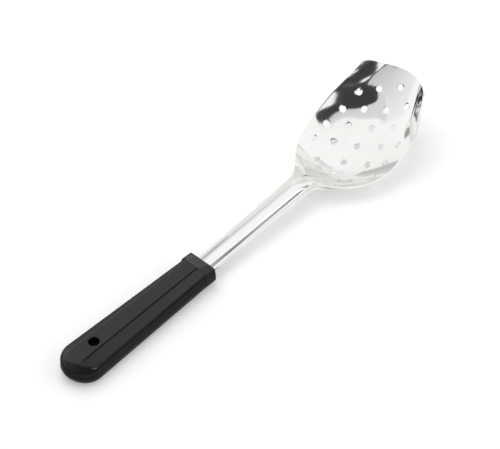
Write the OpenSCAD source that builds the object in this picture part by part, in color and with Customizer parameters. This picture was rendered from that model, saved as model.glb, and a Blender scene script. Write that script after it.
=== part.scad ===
// Perforated serving spoon: a ribbed stainless stamping with a handle moulded round its tang.
// The butt points along -X, the bowl along +X, and the spoon lies on its handle and bowl.

/* [Handle] */
// Length of the moulded handle, butt to front face
handle_len = 127; // [115:1:140]
// Height of the flat top at the butt
butt_h = 17.6; // [16.5:0.1:19]
// Height of the flat top at the front
front_h = 18.8; // [18:0.1:21]
// Lift of the underside at the front face
under_lift = 1.6; // [0.5:0.1:2.5]
// Width of the handle at the butt
butt_w = 32; // [28:0.5:36]
// Width of the bar where the collar begins
bar_front_w = 23.2; // [21:0.1:26]
// Width of the flat top at the butt
top_butt_w = 13.6; // [12:0.1:16]
// Width of the flat top where the collar begins
top_front_w = 10.4; // [9:0.1:12]
// Drop of each long bevel
bevel_drop = 5.3; // [4.5:0.1:6]
// Swell of each side between its bevel and the underside
side_swell = 0.4; // [0.2:0.1:1]
// Rounding along the ridges beside the flat top
ridge_r = 2.5; // [1:0.1:4]
// Rounding along the bevels' lower edges
edge_r = 4; // [2:0.1:5]
// Rounding along the lower edges
under_r = 3; // [2:0.5:4]
// Rounding of the butt's upper edge
butt_edge_r = 3.5; // [2:0.1:5]
// Rounding of the butt's lower edge
butt_under_r = 6; // [4:0.1:8]

/* [Collar] */
// Length of the collar at the front of the handle
collar_len = 10; // [8:0.5:12]
// Length of the ramp up to the collar from the bar
collar_ramp = 0.6; // [0.3:0.1:1]
// Width of the collar
collar_w = 23.4; // [22:0.1:26]
// How far the collar's ridges stand outside the bar's
collar_proud = 0.8; // [0.4:0.1:1.2]
// Height of the collar's shoulders
shoulder_h = 14.4; // [13.6:0.1:15]
// Fall of the collar's top towards the front face
collar_fall = 4.1; // [3.5:0.1:4.3]
// Rounding along the collar's shoulders
collar_r = 1; // [0.5:0.1:1.5]
// Rounding round the front face
collar_edge = 0.6; // [0.3:0.1:0.8]

/* [Hanging hole] */
// Diameter of the hanging hole
hang_hole_d = 7.6; // [6:0.1:9]
// Distance from the butt to the middle of the hanging hole
hang_hole_inset = 26.5; // [22:0.5:28]
// Chamfer at each mouth of the hanging hole
hang_hole_chamfer = 0.5; // [0.3:0.1:0.8]

/* [Blade] */
// Thickness of the steel sheet
sheet_t = 1.2; // [1:0.1:1.5]
// Depth of the neck's flanges below the handle's flat top
neck_drop = 9.8; // [8.8:0.1:10.5]
// Length of the free neck, handle to bowl
neck_len = 92; // [80:1:115]
// Width of the neck at the handle
neck_front_w = 16; // [14:0.5:17]
// Width of the neck where the bowl begins
neck_heel_w = 19; // [18:0.5:22]
// Height of the neck's rib above its flanges
rib_h = 3.4; // [2.5:0.1:4]
// Width of the rib, foot to foot
rib_w = 13; // [11:0.5:14]
// Length of the rib's tongue in the bowl
tongue_len = 18.5; // [15:0.5:22]

/* [Bowl] */
// Length of the bowl, heel to the middle of its tip
bowl_len = 113; // [100:1:125]
// Widest width of the bowl
bowl_w = 76.5; // [70:0.5:85]
// Width of the blunt tip, corner to corner
tip_w = 55; // [48:1:60]
// How far the middle of the tip stands ahead of its corners
tip_bulge = 12.5; // [8:0.5:16]
// Rounding of the tip's corners
tip_corner_r = 3; // [2:0.5:5]
// Depth of the floor below the line from heel to tip corners
bowl_depth = 24.5; // [21:0.5:27]
// Sag of the rim below the same line
rim_sag = 15; // [12:0.5:17]
// Pitch of that line above the handle, in degrees
bowl_pitch = 18; // [14:0.5:22]

/* [Perforations] */
// Diameter of each perforation
hole_d = 4.3; // [3.5:0.1:5]
// Distance between perforations in a column
hole_pitch = 13.7; // [12.5:0.1:14]
// Distance between neighbouring columns
column_pitch = 13.9; // [12:0.1:14.5]
// Distance from the heel to the first perforation of the middle column
first_hole = 37; // [34:0.5:38]
// Distance from the heel to the single perforation ahead of the tongue
tongue_hole = 27.4; // [25:0.1:29]
// Distance from the heel to the pair beside the tongue
near_pair = 23.2; // [21:0.1:24]
// Distance between the two perforations of that pair
near_pair_gap = 18.6; // [17:0.1:20]
// Distance from the heel to the wider pair in front of it
wide_pair = 28; // [27:0.5:30]
// Distance between the two perforations of the wider pair
wide_pair_gap = 31; // [29:0.5:33]

/* [Tang] */
// Distance from the butt to the end of the tang
tang_inset = 40; // [36:1:50]
// Diameter of each anchor hole in the tang
anchor_d = 5; // [4:0.5:6]
// Clearance between the tang and the moulding
tang_gap = 0.1; // [0.05:0.05:0.2]

/* [Hidden] */
steel = "silver";
plastic = [0.06, 0.06, 0.065];
// How far each cut runs past the face that it opens
over = 1;
// Fineness of true round cuts
fine = 48;
// Places of the anchor holes, as shares of the tang's length in the handle
anchor_shares = [0.3, 0.7];
// Steps round the handle's edges and sides
side_steps = 5;
under_steps = 4;
ridge_steps = 3;
edge_steps = 6;
// Steps along and across the sheet
tang_steps = 3;
neck_steps = 9;
bowl_steps = 32;
corner_steps = 4;
across_steps = 22;
// How strongly the places close up towards the rim, and where along the bowl that is reached
rim_pull_share = 0.8;
rim_pull_end_share = 0.3;
// Breadth of each flank of the rib, as a share of the rib's half width
flank_share = 0.75;
// Small step for slopes, as a share of the bowl's length
slope_share = 0.001;

// Half width of the bowl: place along it, then share of its widest half width
plan_shares = [[0.03, 0.26], [0.08, 0.335], [0.2, 0.64], [0.4, 0.95], [0.57, 1], [0.76, 0.95]];
// Floor of the bowl: place along it, then share of its depth
floor_shares = [[0, 0], [0.06, 0.1], [0.12, 0.33], [0.28, 0.94], [0.37, 1], [0.54, 0.95], [0.8, 0.81], [1, 0.44]];
// Rim of the bowl: place along it, then share of its sag
rim_shares = [[0, 0], [0.1, 0.23], [0.25, 0.7], [0.5, 1], [0.75, 0.75], [1, 0]];
// Half breadth of the rib's tongue: place along the tongue, then share of the rib's half width
tongue_shares = [[0, 1], [0.5, 0.85], [1, 0.4]];
// Columns spread and then draw in towards the tip: place along the bowl, then share of their pitch
fan_shares = [[0, 1.02], [0.55, 1.14], [0.8, 0.96], [1, 0.92]];
// Place of each column across, as shares of the column pitch, outer columns drawn in by the wall
column_shares = [-1.75, -1, 0, 1, 1.75];
// Perforations in each column, and how far its first one lies ahead of the middle column's in pitches
column_counts = [4, 4, 5, 4, 4];
column_start_shares = [0.1, 0.57, 0, 0.57, 0.1];
// Rise of the dish from floor to rim across its width
dish_power = 2.2;
// Where the tip's bulge starts along the bowl
bulge_share = 0.4;
bulge_power = 1.5;

corner_len = bowl_len - tip_bulge;
heel_x = handle_len + neck_len;
neck_z = front_h - neck_drop;

function unit(v) = v / norm(v);
function clamp(v) = min(1, max(0, v));
function ease(v) = clamp(v) ^ 2 * (3 - 2 * clamp(v));
function blend(a, b, f) = a + (b - a) * f;

// Smooth curve through a table of [place, value] pairs
function secant(t, i) = (t[i + 1].y - t[i].y) / (t[i + 1].x - t[i].x);
function slope(t, i) =
    i == 0 ? secant(t, 0)
    : i == len(t) - 1 ? secant(t, i - 1)
    : blend(secant(t, i - 1), secant(t, i), (t[i].x - t[i - 1].x) / (t[i + 1].x - t[i - 1].x));
function span(t, x, i = 0) = i == len(t) - 2 || x < t[i + 1].x ? i : span(t, x, i + 1);
function curve(t, x) =
    let (i = span(t, x), h = t[i + 1].x - t[i].x, f = (x - t[i].x) / h)
    t[i].y * (1 + 2 * f) * (1 - f) ^ 2 + t[i + 1].y * f ^ 2 * (3 - 2 * f)
    + h * (slope(t, i) * f * (1 - f) ^ 2 - slope(t, i + 1) * f ^ 2 * (1 - f));

// Height of the rib above the flanges at a distance y from its middle
function rib(y, half, height) = height * ease((half - abs(y)) / (half * flank_share));

// Half width, rim and floor of the bowl at share s of its length
plan = concat([[0, neck_heel_w / 2]],
    [for (p = plan_shares) [p.x, p.y * bowl_w / 2]],
    [[1, tip_w / 2]]);
function half_w(s) = curve(plan, s);
function rim_z(s) = -rim_sag * curve(rim_shares, s);
function floor_z(s) = -bowl_depth * curve(floor_shares, s);

// Point of the bowl's inner face at share s along and y across, before the bowl is pitched
function bowl_local(s, y) =
    let (v = abs(y) / half_w(s),
        tongue = s * corner_len / tongue_len,
        rise = rib(y, rib_w / 2 * curve(tongue_shares, clamp(tongue)), rib_h * (1 - ease(tongue))))
    [s * corner_len + tip_bulge * (1 - v ^ 2) * clamp((s - bulge_share) / (1 - bulge_share)) ^ bulge_power,
        y,
        blend(floor_z(s), rim_z(s), v ^ dish_power) + rise];
function pitched(p) =
    [heel_x + p.x * cos(bowl_pitch) - p.z * sin(bowl_pitch), p.y, p.x * sin(bowl_pitch) + p.z * cos(bowl_pitch)];

// The heel's height puts the lowest point of the bowl on the surface that the spoon lies on
lowest = min([for (i = [0:bowl_steps]) pitched(bowl_local(i / bowl_steps, 0)).z]);
heel_z = sheet_t - lowest;
function bowl_point(s, y) = pitched(bowl_local(s, y)) + [0, 0, heel_z];

// Point of the tang's and the neck's upper face at x from the butt
function neck_share(x) = clamp((x - handle_len) / neck_len);
function neck_half_w(x) = blend(neck_front_w, neck_heel_w, neck_share(x) ^ 2) / 2;
function neck_point(x, y) =
    [x, y, blend(neck_z, heel_z, neck_share(x)) + rib(y, rib_w / 2, rib_h)];

// Width left at share s once the tip's corners are rounded
function trimmed_w(s) =
    let (past = clamp((s * corner_len - corner_len + tip_corner_r) / tip_corner_r))
    half_w(s) - tip_corner_r * (1 - sqrt(1 - past ^ 2));

// Places across the sheet run even on the neck and close up towards the bowl's rim
function across(j) = 2 * j / across_steps - 1;
function bowl_share(j, s) = blend(across(j), sin(90 * across(j)), rim_pull_share * ease(s / rim_pull_end_share));

// Upward normal of a face given as neighbouring points along and across
function normal(back, ahead, right, left) = unit(cross(ahead - back, left - right));
function bowl_normal(s, y) =
    let (e = slope_share, d = slope_share * bowl_len)
    normal(bowl_point(s - e, y), bowl_point(s + e, y), bowl_point(s, y - d), bowl_point(s, y + d));
function neck_normal(x, y) =
    let (d = slope_share * bowl_len)
    normal(neck_point(x - d, y), neck_point(x + d, y), neck_point(x, y - d), neck_point(x, y + d));

// Stations along the bowl run even up to the tip's rounded corners and close up there
corner_share = tip_corner_r / corner_len;
stations = concat([for (i = [0:bowl_steps - 1]) (1 - corner_share) * i / bowl_steps],
    [for (i = [0:corner_steps]) 1 - corner_share * (1 - sin(90 * i / corner_steps))]);
tang_x = [for (i = [0:tang_steps - 1]) blend(tang_inset, handle_len, i / tang_steps)];
neck_x = [for (i = [0:neck_steps - 1]) blend(handle_len, heel_x, i / neck_steps)];
strip = [for (x = concat(tang_x, neck_x)) [for (j = [0:across_steps])
    let (y = neck_half_w(x) * across(j)) [neck_point(x, y), neck_normal(x, y)]]];
dish = [for (s = stations) [for (j = [0:across_steps])
    let (y = trimmed_w(s) * bowl_share(j, s)) [bowl_point(s, y), bowl_normal(s, y)]]];
sheet = concat(strip, dish);
upper = [for (ring = sheet) for (p = ring) p[0]];
lower = [for (ring = sheet) for (p = ring) p[0] - sheet_t * p[1]];
overall_len = max([for (p = concat(upper, lower)) p.x]);

// Closed skin over two matching grids of rows by columns
module skin(top, bottom, rows, columns) {
    count = rows * columns;
    quads = [for (i = [0:rows - 2]) for (j = [0:columns - 2])
        let (a = i * columns + j) [a, a + 1, a + columns + 1, a + columns]];
    sides = [for (i = [0:rows - 2]) for (j = [0, columns - 1])
        let (a = i * columns + j, b = a + columns)
        j == 0 ? [a, b, b + count, a + count] : [b, a, a + count, b + count]];
    ends = [for (i = [0, rows - 1]) for (j = [0:columns - 2])
        let (a = i * columns + j, b = a + 1)
        i == 0 ? [b, a, a + count, b + count] : [a, b, b + count, a + count]];
    under = [for (q = quads) [q[3] + count, q[2] + count, q[1] + count, q[0] + count]];
    polyhedron(concat(top, bottom), [for (q = concat(quads, under, sides, ends)) each [[q[0], q[1], q[2]], [q[0], q[2], q[3]]]]);
}

// Cuts a perforation square to the sheet at share s along and y across
module perforation(s, y) {
    n = bowl_normal(s, y);
    translate(bowl_point(s, y)) rotate([0, acos(n.z), atan2(n.y, n.x)])
        cylinder(d = hole_d, h = 2 * (sheet_t + over), center = true, $fn = fine);
}

module perforations() {
    for (c = [0:len(column_counts) - 1]) {
        for (i = [0:column_counts[c] - 1]) {
            s = (first_hole + (i + column_start_shares[c]) * hole_pitch) / corner_len;
            perforation(s, column_shares[c] * column_pitch * curve(fan_shares, s));
        }
    }
    perforation(tongue_hole / corner_len, 0);
    for (pair = [[near_pair, near_pair_gap], [wide_pair, wide_pair_gap]], side = [-1, 1])
        perforation(pair[0] / corner_len, side * pair[1] / 2);
}

module anchors(d, h, z) {
    for (share = anchor_shares)
        translate([blend(tang_inset, handle_len, share), 0, z]) cylinder(d = d, h = h, $fn = fine);
}

module spoon_blade() {
    color(steel) translate([-overall_len / 2, 0, 0]) difference() {
        skin(upper, lower, len(sheet), across_steps + 1);
        perforations();
        anchors(anchor_d, front_h, 0);
    }
}

// Arc of radius r tangent to both legs of the corner p, c, q
function fillet(p, c, q, r, steps) =
    let (u = unit(p - c), v = unit(q - c), half = acos(u * v) / 2,
        middle = c + unit(u + v) * r / sin(half),
        from = c + u * r / tan(half) - middle,
        to = c + v * r / tan(half) - middle)
    [for (i = [0:steps]) middle + r * unit(blend(from, to, i / steps))];

// Outline of the handle across its length, from a half outline on the +Y side
function mirrored(half) =
    concat(half, [for (i = [len(half) - 1:-1:0]) [-half[i].x, half[i].y]]);

// Half outline of the handle: a flat top at height h out to y = a, a bevel down to the edge at y = b
// and height e, a swelling side and a rounded lower edge at height low, all drawn in by an inset
function handle_half(a, h, b, e, low, r, inset = 0) =
    let (ridge = [a - inset, h - inset], edge = [b - inset, e - inset], foot = [b - inset, low + inset],
        side = [for (i = [1:side_steps - 1])
            [edge.x + side_swell * sin(180 * i / side_steps),
                blend(edge.y - r, foot.y + under_r, i / side_steps)]])
    concat(fillet([0, ridge.y], ridge, edge, ridge_r, ridge_steps),
        fillet(ridge, edge, foot, r, edge_steps),
        side,
        fillet(edge, foot, [0, foot.y], under_r, under_steps));

// Solid through a list of outlines, each with its place along X
module loft(places, outlines) {
    n = len(outlines[0]);
    last = len(places) - 1;
    points = [for (i = [0:last]) for (p = outlines[i]) [places[i], p.x, p.y]];
    walls = [for (i = [0:last - 1]) for (j = [0:n - 1])
        let (a = i * n + j, b = i * n + (j + 1) % n) each [[a, b, b + n], [a, b + n, a + n]]];
    cap = [for (j = [n - 1:-1:0]) j];
    front = [for (j = [0:n - 1]) last * n + j];
    polyhedron(points, concat(walls, [cap, front]));
}

// The bar narrows from the butt to the collar while its top climbs and its underside lifts
collar_x = handle_len - collar_len;
function bar_half_w(x) = blend(butt_w, bar_front_w, x / collar_x) / 2;
function top_half_w(x) = blend(top_butt_w, top_front_w, x / collar_x) / 2;
function top_z(x) = blend(butt_h, front_h, x / handle_len);
function under_z(x) = under_lift * x / handle_len;
function bar_half(x) = handle_half(top_half_w(x), top_z(x), bar_half_w(x), top_z(x) - bevel_drop, under_z(x), edge_r);
function collar_half(x, h, inset = 0) =
    handle_half(top_front_w / 2 + collar_proud, h, collar_w / 2, shoulder_h, under_z(x), collar_r, inset);

// Round butt with softened upper and lower edges, open towards the front
butt_r = butt_w / 2 + side_swell;
module butt_round() {
    translate([butt_r, 0, 0]) rotate_extrude($fn = 2 * fine)
        polygon(concat([[0, 0]],
            fillet([0, 0], [butt_r, 0], [butt_r, butt_h], butt_under_r, edge_steps),
            fillet([butt_r, 0], [butt_r, butt_h], [0, front_h], butt_edge_r, edge_steps),
            [[0, front_h]]));
    translate([butt_r, -butt_r, -over]) cube([handle_len, 2 * butt_r, front_h + 2 * over]);
}

// Bar with its round butt, and the collar that stands out round it and falls to the front face
module grip() {
    lip = handle_len - collar_edge;
    intersection() {
        loft([0, collar_x, collar_x + collar_ramp, lip, handle_len],
            [mirrored(bar_half(0)),
            mirrored(bar_half(collar_x)),
            mirrored(collar_half(collar_x, front_h)),
            mirrored(collar_half(lip, front_h - collar_fall)),
            mirrored(collar_half(handle_len, front_h - collar_fall, collar_edge))]);
        butt_round();
    }
}

// Room for the tang: its section grown by the clearance, open at the front face
function room_point(j, off) =
    let (y = across(j) * (neck_front_w / 2 + tang_gap), p = neck_point(0, y) + off * neck_normal(0, y))
    [p.y, p.z];
module tang_room() {
    translate([tang_inset - tang_gap, 0, 0]) rotate([90, 0, 90])
        linear_extrude(handle_len - tang_inset + over)
            polygon(concat([for (j = [0:across_steps]) room_point(j, -sheet_t - tang_gap)],
                [for (j = [across_steps:-1:0]) room_point(j, tang_gap)]));
}

module hanging_hole() {
    translate([hang_hole_inset, 0, -over]) cylinder(d = hang_hole_d, h = front_h + 2 * over, $fn = fine);
    mouths = [under_z(hang_hole_inset), top_z(hang_hole_inset)];
    for (flip = [0, 1]) translate([hang_hole_inset, 0, mouths[flip]]) mirror([0, 0, flip])
        translate([0, 0, -over])
            cylinder(d1 = hang_hole_d + 2 * (hang_hole_chamfer + over), d2 = hang_hole_d,
                h = hang_hole_chamfer + over, $fn = fine);
}

module handle() {
    color(plastic) translate([-overall_len / 2, 0, 0]) {
        difference() {
            grip();
            tang_room();
            hanging_hole();
        }
        anchors(anchor_d - 2 * tang_gap, neck_drop, neck_z - sheet_t - over);
    }
}

spoon_blade();
handle();
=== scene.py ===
"""Perforated serving spoon: a polished steel blade in a black moulded handle, on a plain pale floor."""

import logging
import math
from collections.abc import Sequence
from dataclasses import dataclass
from enum import Enum
from typing import ClassVar

import bpy
import numpy as np
from mathutils import Matrix, Vector


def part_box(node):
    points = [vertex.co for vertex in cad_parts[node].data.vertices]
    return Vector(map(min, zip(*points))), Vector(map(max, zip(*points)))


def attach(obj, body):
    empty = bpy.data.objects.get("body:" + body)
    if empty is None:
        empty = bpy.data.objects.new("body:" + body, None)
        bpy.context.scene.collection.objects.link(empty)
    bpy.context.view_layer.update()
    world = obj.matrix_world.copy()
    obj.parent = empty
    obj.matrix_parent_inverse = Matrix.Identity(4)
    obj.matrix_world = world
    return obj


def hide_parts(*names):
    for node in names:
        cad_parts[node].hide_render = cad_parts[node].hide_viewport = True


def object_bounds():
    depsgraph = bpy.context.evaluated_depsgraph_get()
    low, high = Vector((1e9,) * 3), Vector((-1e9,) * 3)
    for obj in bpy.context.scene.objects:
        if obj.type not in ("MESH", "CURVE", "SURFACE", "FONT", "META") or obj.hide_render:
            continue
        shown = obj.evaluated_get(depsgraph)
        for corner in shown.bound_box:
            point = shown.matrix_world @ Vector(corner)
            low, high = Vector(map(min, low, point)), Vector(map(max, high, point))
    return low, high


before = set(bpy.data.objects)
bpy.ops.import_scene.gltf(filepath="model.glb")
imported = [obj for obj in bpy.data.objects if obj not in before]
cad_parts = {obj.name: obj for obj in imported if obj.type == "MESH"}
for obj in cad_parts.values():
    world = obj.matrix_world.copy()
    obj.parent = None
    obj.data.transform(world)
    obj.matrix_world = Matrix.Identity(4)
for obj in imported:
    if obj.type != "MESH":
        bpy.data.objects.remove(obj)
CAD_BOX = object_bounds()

Pair = tuple[float, float]
Triple = tuple[float, float, float]
Colour = tuple[float, float, float, float]
Table = tuple[Pair, ...]

LOG = logging.getLogger("spoon")
MM = 0.001
ROOT = "root"
PHOTO_WIDTH = 500
MERGE = 2e-6
TINY = 1e-6


class Slot(Enum):
    """Material slots of the record."""

    STEEL = "steel"
    PLASTIC = "plastic"


def ease(share: np.ndarray) -> np.ndarray:
    """Returns a smooth step from 0 to 1 for shares from 0 to 1."""
    held = np.clip(share, 0.0, 1.0)
    return held * held * (3.0 - 2.0 * held)


def mix(start: np.ndarray, end: np.ndarray, share: np.ndarray) -> np.ndarray:
    """Returns the value between start and end at a share."""
    return start + (end - start) * share


@dataclass(frozen=True)
class Curve:
    """Smooth curve through a table of places and values, with an even bend at every place."""

    table: Table

    def __call__(self, place: np.ndarray) -> np.ndarray:
        """Reads the curve.

        Args:
            place: Places at which the curve is read, held inside the table.

        Returns:
            The value at each place.
        """
        xs, ys = np.array(self.table, float).T
        gaps = np.diff(xs)
        secants = np.diff(ys) / gaps
        count = len(xs)
        system = np.eye(count)
        right = np.zeros(count)
        right[0] = secants[0]
        right[-1] = secants[-1]
        for i in range(1, count - 1):
            system[i, i - 1 : i + 2] = [gaps[i], 2 * (gaps[i - 1] + gaps[i]), gaps[i - 1]]
            right[i] = 3 * (gaps[i] * secants[i - 1] + gaps[i - 1] * secants[i])
        slopes = np.linalg.solve(system, right)
        at = np.clip(np.asarray(place, float), xs[0], xs[-1])
        i = np.clip(np.searchsorted(xs, at, side="right") - 1, 0, count - 2)
        f = (at - xs[i]) / gaps[i]
        rise = ys[i] * (1 + 2 * f) * (1 - f) ** 2 + ys[i + 1] * f**2 * (3 - 2 * f)
        return rise + gaps[i] * (slopes[i] * f * (1 - f) ** 2 - slopes[i + 1] * f**2 * (1 - f))


class Bench:
    """Workbench operations shared by all pieces."""

    @staticmethod
    def deselect() -> None:
        """Leaves nothing selected, with no object in edit mode."""
        if bpy.context.object and bpy.context.object.mode != "OBJECT":
            bpy.ops.object.mode_set(mode="OBJECT")
        bpy.ops.object.select_all(action="DESELECT")

    @staticmethod
    def take(piece: bpy.types.Object) -> None:
        """Selects one piece alone and makes it active."""
        Bench.deselect()
        piece.select_set(True)
        bpy.context.view_layer.objects.active = piece

    @staticmethod
    def sheet(name: str, points: np.ndarray) -> bpy.types.Object:
        """Adds a grid and moves its vertices to their places.

        Args:
            name: Name of the new object.
            points: Places in metres, as rows by columns by three.

        Returns:
            The new object.
        """
        rows, columns = points.shape[:2]
        Bench.deselect()
        bpy.ops.mesh.primitive_grid_add(x_subdivisions=rows - 1, y_subdivisions=columns - 1, size=2)
        piece = bpy.context.object
        piece.name = name
        flat = Bench.places(piece)
        i = np.rint((flat[:, 0] + 1) / 2 * (rows - 1)).astype(int)
        j = np.rint((flat[:, 1] + 1) / 2 * (columns - 1)).astype(int)
        Bench.move(piece, points[i, j])
        return piece

    @staticmethod
    def places(piece: bpy.types.Object) -> np.ndarray:
        """Returns the places of a piece's vertices, one row each."""
        found = np.zeros(len(piece.data.vertices) * 3)
        piece.data.vertices.foreach_get("co", found)
        return found.reshape(-1, 3)

    @staticmethod
    def move(piece: bpy.types.Object, places: np.ndarray) -> None:
        """Moves a piece's vertices to new places, one row each."""
        piece.data.vertices.foreach_set("co", np.asarray(places, float).ravel())
        piece.data.update()

    @staticmethod
    def rim(piece: bpy.types.Object) -> np.ndarray:
        """Returns the numbers of the vertices that lie on open edges."""
        mesh = piece.data
        used = np.zeros(len(mesh.loops), int)
        mesh.loops.foreach_get("edge_index", used)
        ends = np.zeros(len(mesh.edges) * 2, int)
        mesh.edges.foreach_get("vertices", ends)
        single = np.bincount(used, minlength=len(mesh.edges)) == 1
        return np.unique(ends.reshape(-1, 2)[single])

    @staticmethod
    def tube(name: str, points: np.ndarray, caps: Sequence[int]) -> bpy.types.Object:
        """Adds a closed skin over rings of points.

        Args:
            name: Name of the new object.
            points: Rings in metres, as rows by columns by three, each ring open at its last point.
            caps: Rows, 0 or -1, whose ring is closed with a flat face.

        Returns:
            The new object, its faces pointing outwards.
        """
        closed = np.concatenate([points, points[:, :1]], axis=1)
        piece = Bench.sheet(name, closed)
        Bench.take(piece)
        bpy.ops.object.mode_set(mode="EDIT")
        bpy.ops.mesh.select_all(action="SELECT")
        bpy.ops.mesh.remove_doubles(threshold=MERGE)
        bpy.ops.mesh.dissolve_degenerate(threshold=TINY)
        bpy.ops.object.mode_set(mode="OBJECT")
        for row in caps:
            ring = points[row]
            low = ring.min(axis=0) - TINY
            high = ring.max(axis=0) + TINY
            places = Bench.places(piece)
            inside = np.all((places >= low) & (places <= high), axis=1)
            on_rim = np.zeros(len(places), bool)
            on_rim[Bench.rim(piece)] = True
            Bench.mark(piece, "vertices", inside & on_rim)
            bpy.ops.object.mode_set(mode="EDIT")
            bpy.ops.mesh.edge_face_add()
            bpy.ops.object.mode_set(mode="OBJECT")
        bpy.ops.object.mode_set(mode="EDIT")
        bpy.ops.mesh.select_all(action="SELECT")
        bpy.ops.mesh.normals_make_consistent(inside=False)
        bpy.ops.object.mode_set(mode="OBJECT")
        return piece

    @staticmethod
    def mark(piece: bpy.types.Object, kind: str, chosen: np.ndarray) -> None:
        """Selects vertices or polygons of a piece by a row of flags, and nothing else."""
        mode = {"vertices": "VERT", "polygons": "FACE"}[kind]
        bpy.ops.object.mode_set(mode="EDIT")
        bpy.ops.mesh.select_mode(type=mode)
        bpy.ops.mesh.select_all(action="DESELECT")
        bpy.ops.object.mode_set(mode="OBJECT")
        getattr(piece.data, kind).foreach_set("select", chosen)

    @staticmethod
    def apply(piece: bpy.types.Object, kind: str, **settings: object) -> None:
        """Adds a modifier with its settings and applies it."""
        Bench.take(piece)
        modifier = piece.modifiers.new(kind.lower(), kind)
        for key, value in settings.items():
            setattr(modifier, key, value)
        bpy.ops.object.modifier_apply(modifier=modifier.name)

    @staticmethod
    def cut(piece: bpy.types.Object, tool: bpy.types.Object) -> None:
        """Cuts a piece with a tool and removes the tool."""
        Bench.apply(piece, "BOOLEAN", operation="DIFFERENCE", solver="EXACT", object=tool)
        bpy.data.objects.remove(tool)

    @staticmethod
    def finish(piece: bpy.types.Object, degrees: float) -> None:
        """Shades a piece smooth where its faces meet at less than an angle."""
        Bench.take(piece)
        bpy.ops.object.shade_smooth_by_angle(angle=math.radians(degrees))
        Bench.deselect()


class Value:
    """One output socket, on which shader maths is written with the usual operators."""

    def __init__(self, tree: bpy.types.NodeTree, socket: bpy.types.NodeSocket) -> None:
        """Keeps the tree and the socket."""
        self.tree = tree
        self.socket = socket

    def maths(self, operation: str, *values: object) -> "Value":
        """Adds a Math node.

        Args:
            operation: Name of the node's operation.
            values: Its inputs in order, as numbers or Value objects.

        Returns:
            The node's result.
        """
        node = self.tree.nodes.new("ShaderNodeMath")
        node.operation = operation
        for socket, value in zip(node.inputs, values):
            if isinstance(value, Value):
                self.tree.links.new(value.socket, socket)
            else:
                socket.default_value = value
        return Value(self.tree, node.outputs[0])

    def __add__(self, other: object) -> "Value":
        """Returns the sum."""
        return self.maths("ADD", self, other)

    def __radd__(self, other: object) -> "Value":
        """Returns the sum."""
        return self.maths("ADD", other, self)

    def __sub__(self, other: object) -> "Value":
        """Returns the difference."""
        return self.maths("SUBTRACT", self, other)

    def __rsub__(self, other: object) -> "Value":
        """Returns the difference."""
        return self.maths("SUBTRACT", other, self)

    def __mul__(self, other: object) -> "Value":
        """Returns the product."""
        return self.maths("MULTIPLY", self, other)

    def __rmul__(self, other: object) -> "Value":
        """Returns the product."""
        return self.maths("MULTIPLY", other, self)

    def steps(self, low: float, high: float) -> "Value":
        """Returns a share that rises from 0 to 1 between two values of this one."""
        node = self.tree.nodes.new("ShaderNodeMapRange")
        node.interpolation_type = "SMOOTHSTEP"
        self.tree.links.new(self.socket, node.inputs["Value"])
        node.inputs["From Min"].default_value = low
        node.inputs["From Max"].default_value = high
        return Value(self.tree, node.outputs["Result"])


class Shader:
    """Node tree of one material or of the world."""

    NOISE_ROUGHNESS: ClassVar[float] = 0.55

    def __init__(self, owner: bpy.types.Material | bpy.types.World) -> None:
        """Empties the owner's tree and keeps it."""
        owner.use_nodes = True
        self.tree = owner.node_tree
        self.tree.nodes.clear()

    def node(self, kind: str, settings: dict[str, object], **values: object) -> bpy.types.Node:
        """Adds a node.

        Args:
            kind: Type of the node.
            settings: Its settings, set before its sockets.
            values: Its inputs as values, Value objects or sockets, each by its name with underscores
                for spaces, or by n and its number.

        Returns:
            The new node.
        """
        made = self.tree.nodes.new(kind)
        for key, value in settings.items():
            setattr(made, key, value)
        for key, value in values.items():
            numbered = key[0] == "n" and key[1:].isdigit()
            socket = made.inputs[int(key[1:]) if numbered else key.replace("_", " ")]
            if isinstance(value, Value):
                self.tree.links.new(value.socket, socket)
            elif isinstance(value, bpy.types.NodeSocket):
                self.tree.links.new(value, socket)
            else:
                socket.default_value = value
        return made

    def value(self, node: bpy.types.Node, output: str | int = 0) -> Value:
        """Returns one output of a node, ready for maths."""
        return Value(self.tree, node.outputs[output])

    def blend(self, share: Value | float, first: object, second: object) -> bpy.types.NodeSocket:
        """Returns a colour between two colours at a share."""
        made = self.node("ShaderNodeMix", {"data_type": "RGBA"}, n0=share, n6=first, n7=second)
        return made.outputs[2]

    def noise(self, scale: Sequence[float], size: float, detail: float, turn: float = 0.0) -> Value:
        """Adds a noise pattern on the object's own coordinates.

        Args:
            scale: Scale along each axis.
            size: Scale of the pattern in waves per metre.
            detail: Octaves of the pattern.
            turn: Turn of the pattern about Z, in degrees.

        Returns:
            The pattern's height, from 0 to 1.
        """
        place = self.node("ShaderNodeTexCoord", {}).outputs["Object"]
        about = (0, 0, math.radians(turn))
        turned = self.node("ShaderNodeMapping", {}, Vector=place, Rotation=about, Scale=scale)
        made = self.node(
            "ShaderNodeTexNoise", {},
            Vector=turned.outputs[0], Scale=size, Detail=detail, Roughness=self.NOISE_ROUGHNESS,
        )
        return self.value(made)

    def surface(self, shader: bpy.types.NodeSocket) -> None:
        """Ends the tree with its surface."""
        owner = "World" if isinstance(self.tree.id_data, bpy.types.World) else "Material"
        self.node("ShaderNodeOutput" + owner, {}, Surface=shader)


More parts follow.
